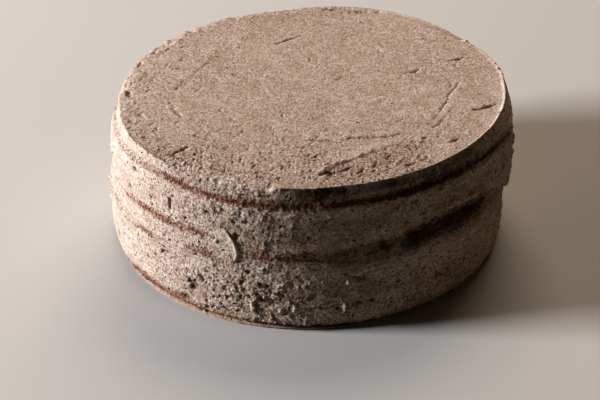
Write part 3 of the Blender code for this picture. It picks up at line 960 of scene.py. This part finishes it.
def crumb_tree():
    """Scatters broken cookie crumbs, half sunk, over the faces that show. Lengths are in metres."""
    tree, source = new_tree(
        "cookie_crumbs",
        density=NUMBER, spacing=NUMBER, smallest=NUMBER, largest=NUMBER, jag=NUMBER, seed="NodeSocketInt",
        material=MATERIAL,
    )
    wanted = add(tree, NAMED, {"Name": "crumbs"}, data_type="FLOAT")
    points = add(
        tree, "GeometryNodeDistributePointsOnFaces",
        {"Mesh": (source, "Geometry"), "Distance Min": (source, "Spacing"),
         "Density Max": (source, "Density"), "Density Factor": wanted, "Seed": (source, "Seed")},
        distribute_method="POISSON",
    )
    ball = add(tree, "GeometryNodeMeshIcoSphere", {"Radius": 0.5, "Subdivisions": 1})
    draw = add(tree, "FunctionNodeRandomValue", {"Seed": 2}, data_type="FLOAT")
    share = add(tree, MATH, {0: draw, 1: 3.0}, "POWER")
    limits = {"To Min": (source, "Smallest"), "To Max": (source, "Largest")}
    size = add(tree, MAP_RANGE, {"Value": share, **limits})
    shape = add(
        tree, "FunctionNodeRandomValue", {0: (0.6, 0.6, 0.5), 1: (1.4, 1.1, 0.9), "Seed": 3},
        data_type="FLOAT_VECTOR",
    )
    scale = add(tree, VECTOR_MATH, {0: shape, "Scale": size}, "SCALE")
    turn = add(
        tree, "FunctionNodeRandomValue", {0: (0, 0, 0), 1: (6.28,) * 3, "Seed": 4}, data_type="FLOAT_VECTOR"
    )
    down = add(tree, MATH, {0: size, 1: -0.2}, "MULTIPLY")
    depth = add(tree, VECTOR_MATH, {0: (points, "Normal"), "Scale": down}, "SCALE")
    sunk = add(tree, "GeometryNodeSetPosition", {"Geometry": points, "Offset": depth})
    placed = add(
        tree, "GeometryNodeInstanceOnPoints",
        {"Points": sunk, "Instance": ball, "Rotation": turn, "Scale": scale},
    )
    real = add(tree, "GeometryNodeRealizeInstances", {"Geometry": placed})
    metres = add(tree, "GeometryNodeInputPosition")
    jagged = add(tree, NOISE, {"Vector": metres, "Scale": 2600.0, "Detail": 0.0})
    centred = add(tree, VECTOR_MATH, {0: (jagged, "Color"), 1: (0.5,) * 3}, "SUBTRACT")
    offset = add(tree, VECTOR_MATH, {0: centred, "Scale": (source, "Jag")}, "SCALE")
    broken = add(tree, "GeometryNodeSetPosition", {"Geometry": real, "Offset": offset})
    return finish_tree(tree, source, broken)


def baked(piece, tree, **inputs):
    """The piece after the tree, as a plain mesh with no modifier."""
    modifier = piece.modifiers.new(tree.name, "NODES")
    modifier.node_group = tree
    for item in tree.interface.items_tree:
        key = item.name.lower().replace(" ", "_")
        if item.in_out == "INPUT" and key in inputs:
            modifier[item.identifier] = inputs[key]
    ready = piece.evaluated_get(bpy.context.evaluated_depsgraph_get())
    data = bpy.data.meshes.new_from_object(ready)
    data.name = piece.name
    piece.modifiers.remove(modifier)
    piece.data = data
    return piece


# Materials

def colour(code):
    """sRGB hex to linear red, green, blue and alpha."""
    parts = [int(code[start : start + 2], 16) / 255 for start in (1, 3, 5)]
    linear = [part / 12.92 if part <= 0.04045 else ((part + 0.055) / 1.055) ** 2.4 for part in parts]
    return (*linear, 1.0)


def new_material(name):
    material = bpy.data.materials.new(name)
    material.use_nodes = True
    tree = material.node_tree
    return material, tree, tree.nodes["Principled BSDF"]


def place_in_millimetres(tree):
    """Where a point is on the cake, for patterns whose sizes are in millimetres."""
    middle = (add(tree, "ShaderNodeTexCoord"), "Object")
    return add(tree, VECTOR_MATH, {0: middle, "Scale": PER_METRE}, "SCALE")


def washed(tree, under, value, start, full, most, tint):
    """A colour under a tint that comes in as a value grows from start to full, up to a share of most."""
    share = add(tree, MAP_RANGE, {"Value": value, "From Min": start, "From Max": full, "To Max": most})
    return add(tree, MIX, {0: share, 6: under, 7: tint}, data_type="RGBA")


def cream_over_sponge(tree, place):
    """Cookie cream over chocolate sponge, which shows in spots as "bare" grows.

    Gives the colour, the height in millimetres, and the share of painted shade.
    """
    rough, cavity, bare_and_shade, damp = [
        (add(tree, "ShaderNodeAttribute", attribute_name=name, attribute_type="GEOMETRY"), "Fac")
        for name in ("rough", "cavity", "bare_and_shade", "damp")
    ]

    # Fine crumb: 0.1 to 0.4 mm really, drawn 1.3 mm wide so that it shows
    fine = add(tree, NOISE, {"Vector": place, "Scale": 1 / 1.3, "Detail": 3.0, "Roughness": 0.72})
    speckle = add(tree, MAP_RANGE, {"Value": fine, "From Min": 0.34, "From Max": 0.58})
    coarse = add(tree, MATH, {0: rough, 1: 0.65, 2: 0.35}, "MULTIPLY_ADD")
    darkening = add(tree, MATH, {0: 1.0, 1: speckle}, "SUBTRACT")
    amount = add(tree, MATH, {0: darkening, 1: coarse}, "MULTIPLY", use_clamp=True)
    cream = add(tree, MIX, {0: amount, 6: colour("#CBBEB2"), 7: colour("#6E5846")}, data_type="RGBA")

    # Slow change of crumb content from one knife stroke to the next
    slow = add(tree, NOISE, {"Vector": place, "Scale": 1 / 11, "Detail": 5.0, "Roughness": 0.65})
    cream = washed(tree, cream, slow, 0.38, 0.66, 0.45, colour("#9E8672"))

    # Streaks along the strokes of the knife, 1.2 mm wide
    drag = add(tree, "ShaderNodeAttribute", attribute_name="stroke", attribute_type="GEOMETRY")
    streak = add(tree, NOISE, {"Vector": (drag, "Vector"), "Scale": 1 / 1.2, "Detail": 3.0})
    cream = washed(tree, cream, streak, 0.42, 0.68, 0.4, colour("#876D58"))

    # Crumbs and holes in the surface: small ones of 0.5 to 1 mm and a few of 1 to 1.5 mm. Their dark brown
    # is
    #     # the crumb's own colour, and painted shade in the holes they sink
    warp = add(tree, NOISE, {"Vector": place, "Scale": 1 / 0.9, "Detail": 2.0})
    torn = add(tree, MATH, {0: rough, 1: 0.22, 2: -0.30}, "MULTIPLY_ADD")
    depth = 0.0
    for spacing, bend, share in ((1.9, 1.3, 0.44), (4.2, 3.0, 0.36)):
        bent = add(tree, VECTOR_MATH, {0: (warp, "Color"), 1: (bend,) * 3, 2: place}, "MULTIPLY_ADD")
        cells = add(tree, "ShaderNodeTexVoronoi", {"Vector": bent, "Scale": 1 / spacing})
        draw = add(tree, "ShaderNodeSeparateColor", {"Color": (cells, "Color")})
        reach = add(tree, MATH, {0: (draw, "Red"), 1: share, 2: torn}, "MULTIPLY_ADD")
        inside = add(tree, MATH, {0: reach, 1: (cells, "Distance")}, "SUBTRACT")
        fleck = add(tree, MAP_RANGE, {"Value": inside, "From Min": -0.02, "From Max": 0.08})
        dark = add(tree, MATH, {0: fleck, 1: 0.8}, "MULTIPLY")
        cream = add(tree, MIX, {0: dark, 6: cream, 7: colour("#402A1A")}, data_type="RGBA")
        hole = add(tree, MATH, {0: fleck, 1: -0.25 * spacing}, "MULTIPLY")
        depth = add(tree, MATH, {0: hole, 1: depth}, "ADD")

    # Painted shade: pits, tears and marks darken by their depth. The thinnest cream lets the brown of the
    # sponge through, the same value adds painted shade on the right, and painted shade darkens the side
    # turned from the light
    cream = washed(tree, cream, cavity, 0.2, 0.9, 0.65, colour("#523A28"))
    cream = washed(tree, cream, bare_and_shade, 0.3, 1.0, 0.8, colour("#7A5A44"))
    # Painted shade: the cream turns a dark olive brown where the side lies in shade
    shade_share = add(tree, MATH, {0: damp, 1: 0.85}, "MULTIPLY", use_clamp=True)
    cream = add(tree, MIX, {0: shade_share, 6: cream, 7: colour("#40321F")}, data_type="RGBA")

    # Baked sponge, reddish brown with dark holes, and nearly black under the painted shade
    crumb = add(tree, NOISE, {"Vector": place, "Scale": 1 / 1.2, "Detail": 4.0, "Roughness": 0.72})
    ramp = add(tree, MAP_RANGE, {"Value": crumb, "From Min": 0.38, "From Max": 0.60})
    sponge = add(tree, MIX, {0: ramp, 6: colour("#3F2416"), 7: colour("#865138")}, data_type="RGBA")
    sponge = add(tree, MIX, {0: shade_share, 6: sponge, 7: colour("#1E130B")}, data_type="RGBA")
    spots = add(tree, NOISE, {"Vector": place, "Scale": 1 / 1.6, "Detail": 3.0, "Roughness": 0.75})
    over = add(tree, MATH, {0: bare_and_shade, 1: 0.50, 2: spots}, "MULTIPLY_ADD")
    whole = washed(tree, cream, over, 0.76, 0.83, 0.92, sponge)
    bumps = add(tree, MATH, {0: fine, 1: coarse}, "MULTIPLY")
    height = add(tree, MATH, {0: bumps, 1: 1.4, 2: depth}, "MULTIPLY_ADD")
    return whole, height, damp


def matt(tree, shader, roughness, shade, height):
    """A dull surface of a shade, with bumps of a height in millimetres."""
    bump = add(tree, "ShaderNodeBump", {"Strength": 0.8, "Distance": 0.0009, "Height": height})
    wire(tree, shader, {"Base Color": shade, "Normal": bump})
    wire(tree, shader, {"Roughness": roughness, "IOR": 1.45, "Specular IOR Level": 0.2})


def cookie_cream():
    """Whipped cream with finely crushed chocolate cookies folded in, scraped thin with a palette knife.

    To the eye: a matt, sandy taupe, flecked with dark crumb, brown where the sponge shows, and painted
    shade.
    """
    material, tree, shader = new_material("cookie_cream")
    shade, height, _ = cream_over_sponge(tree, place_in_millimetres(tree))
    matt(tree, shader, 0.8, shade, height)
    return material


def chocolate_sponge():
    """Baked chocolate sponge, brushed by the scraper: an open, matt, reddish brown crumb smeared with cream.

    Its foot, where it stood on the tin's base, is a paler, drier crust.
    """
    material, tree, shader = new_material("chocolate_sponge")
    place = place_in_millimetres(tree)
    shade, height, damp = cream_over_sponge(tree, place)
    level = add(tree, "ShaderNodeSeparateXYZ", {"Vector": place})
    foot = add(tree, MAP_RANGE, {"Value": (level, "Z"), "From Min": 1.9, "From Max": 1.6})
    dry = add(tree, NOISE, {"Vector": place, "Scale": 1 / 2.5, "Detail": 3.0})
    crust = add(tree, MIX, {0: dry, 6: colour("#8C6E58"), 7: colour("#C9B29C")}, data_type="RGBA")
    # The pale foot crust gives way to the painted shade, so the foot is dark on the side turned from the
    # light
    pale = add(tree, MATH, {0: foot, 1: damp}, "SUBTRACT", use_clamp=True)
    whole = add(tree, MIX, {0: pale, 6: shade, 7: crust}, data_type="RGBA")
    matt(tree, shader, 0.92, whole, height)
    return material


def cookie_crumb():
    """Broken dark cocoa cookie: dark brown and matt."""
    material, tree, shader = new_material("cookie_crumb")
    shade = add(tree, NOISE, {"Vector": place_in_millimetres(tree), "Scale": 1 / 4})
    brown = add(tree, MIX, {0: shade, 6: colour("#2A1E17"), 7: colour("#5A463A")}, data_type="RGBA")
    wire(tree, shader, {"Roughness": 0.85, "IOR": 1.45, "Base Color": brown})
    return material


# Surroundings

def surroundings():
    """A pale floor, a soft light low on the left, weak ones behind and on the right, and hardly any fill."""
    bpy.ops.mesh.primitive_plane_add(size=6)
    floor = bpy.context.object
    floor.name = "floor"
    material, tree, shader = new_material("pale_floor")
    wire(tree, shader, {"Base Color": colour("#BBBAB6"), "Roughness": 1.0, "Specular IOR Level": 0.0})
    floor.data.materials.append(material)

    def soft_light(name, azimuth, elevation, distance, size, power, tint):
        """A square light that faces the middle of the cake."""
        light = bpy.data.lights.new(name, "AREA")
        light.shape = "SQUARE"
        light.size = size
        light.energy = power
        light.color = colour(tint)[:3]
        lamp = bpy.data.objects.new(name, light)
        rise = math.radians(elevation)
        away = Vector(around(azimuth, distance * math.cos(rise), distance * math.sin(rise)))
        lamp.location = away + Vector((0, 0, 0.04))
        lamp.rotation_euler = away.to_track_quat("Z", "Y").to_euler()
        bpy.context.scene.collection.objects.link(lamp)

    soft_light("left_window", -86, 18, 2.4, 0.6, 102, "#F3F4FA")
    soft_light("back_window", 168, 50, 1.8, 1.2, 17.4, "#FFECDC")
    soft_light("room", 78, 14, 2.0, 1.5, 3.5, "#F4E0B8")
    world = bpy.data.worlds.new("studio")
    world.use_nodes = True
    background = world.node_tree.nodes["Background"]
    wire(world.node_tree, background, {"Color": colour("#FFD8B4"), "Strength": 0.005})
    scene = bpy.context.scene
    scene.world = world
    scene.view_settings.view_transform = "Standard"
    scene.view_settings.look = "High Contrast"


def camera():
    """Looking down at the cake from the front, a little rolled, with a long lens."""
    data = bpy.data.cameras.new("camera")
    data.lens = 103.7
    data.sensor_width = 36
    across = (0.99966232, -0.00703737, -0.02501447)
    up = (0.02503414, 0.51891024, 0.85446208)
    back = (0.0069671, -0.85479976, 0.51891119)
    position = (0, -0.78156, 0.48756)
    turned = Matrix((across, up, back)).transposed().to_4x4()
    lens = bpy.data.objects.new("camera", data)
    lens.matrix_world = Matrix.Translation(position) @ turned
    bpy.context.scene.collection.objects.link(lens)
    bpy.context.scene.camera = lens


def crumb_ground(pieces):
    """One mesh of the cream's surfaces, with how many crumbs each spot should get: few on the flat top."""
    copies = []
    for piece in pieces:
        copy = piece.copy()
        copy.data = piece.data.copy()
        bpy.context.scene.collection.objects.link(copy)
        copies.append(copy)
    with bpy.context.temp_override(active_object=copies[0], selected_editable_objects=copies):
        bpy.ops.object.join()
    ground = copies[0]
    ground.name = "cookie_crumbs"
    data = ground.data
    shown = np.zeros(len(data.vertices), np.float32)
    data.attributes["shown"].data.foreach_get("value", shown)
    normals = np.zeros(len(data.vertices) * 3, np.float32)
    data.vertices.foreach_get("normal", normals)
    upward = normals.reshape(-1, 3)[:, 2]
    wanted = shown * np.where(upward > 0.7, CRUMBS_ON_TOP, 1.0)
    data.attributes.new("crumbs", "FLOAT", "POINT").data.foreach_set("value", wanted.astype(np.float32))
    return ground


def build():
    cream, sponge, crumb = cookie_cream(), chocolate_sponge(), cookie_crumb()
    relief = relief_tree()
    side = dict(
        lump_size=9.0, lump_depth=0.4, stroke_size=1.4, stroke_depth=0.35,
        tear_size=3.3, tear_depth=0.55, tear_level=0.70, grain_size=1.6, grain_depth=0.5,
        pit_spacing=5.2, pit_depth=0.35, seed=2.0, material=cream,
    )
    flat = dict(
        lump_size=14.0, lump_depth=0.25, stroke_size=1.5, stroke_depth=0.1,
        tear_size=1.7, tear_depth=0.35, tear_level=0.69, grain_size=1.3, grain_depth=0.35,
        pit_spacing=5.5, pit_depth=0.2, seed=1.0, material=cream,
    )
    crumbly = dict(
        lump_size=4.0, lump_depth=0.4, stroke_size=2.0, stroke_depth=0.0,
        tear_size=2.0, tear_depth=0.35, tear_level=0.66, grain_size=1.2, grain_depth=0.4,
        pit_spacing=2.0, pit_depth=0.3, seed=6.0, material=sponge,
    )
    layers = (  # piece, the solid it stands for, its surface, its finish: crumbs lie on the first four
        (top_cream(), "top_cream", flat, "cream"),
        (upper_coat(), "upper_coat", side, "cream"),
        (lower_coat(), "lower_coat", side, "cream"),
        (swiped_cream(), "swiped_cream", side, "cream"),
        (filling(), "filling", side, "cream"),
        (top_sponge(), "top_sponge", crumbly, "sponge"),
        (bottom_sponge(), "bottom_sponge", crumbly, "sponge"),
    )
    pieces = [baked(piece, relief, **surface) for piece, _, surface, _ in layers]
    crumbs = baked(
        crumb_ground(pieces[:4]), crumb_tree(), density=24000.0, spacing=0.0022,
        smallest=0.0005, largest=0.0018, jag=0.0006, seed=8, material=crumb,
    )
    for piece, (_, node, _, slot) in zip(pieces, layers):
        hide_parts(node)
        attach(piece, "root")
    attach(crumbs, "root")


build()
surroundings()
camera()
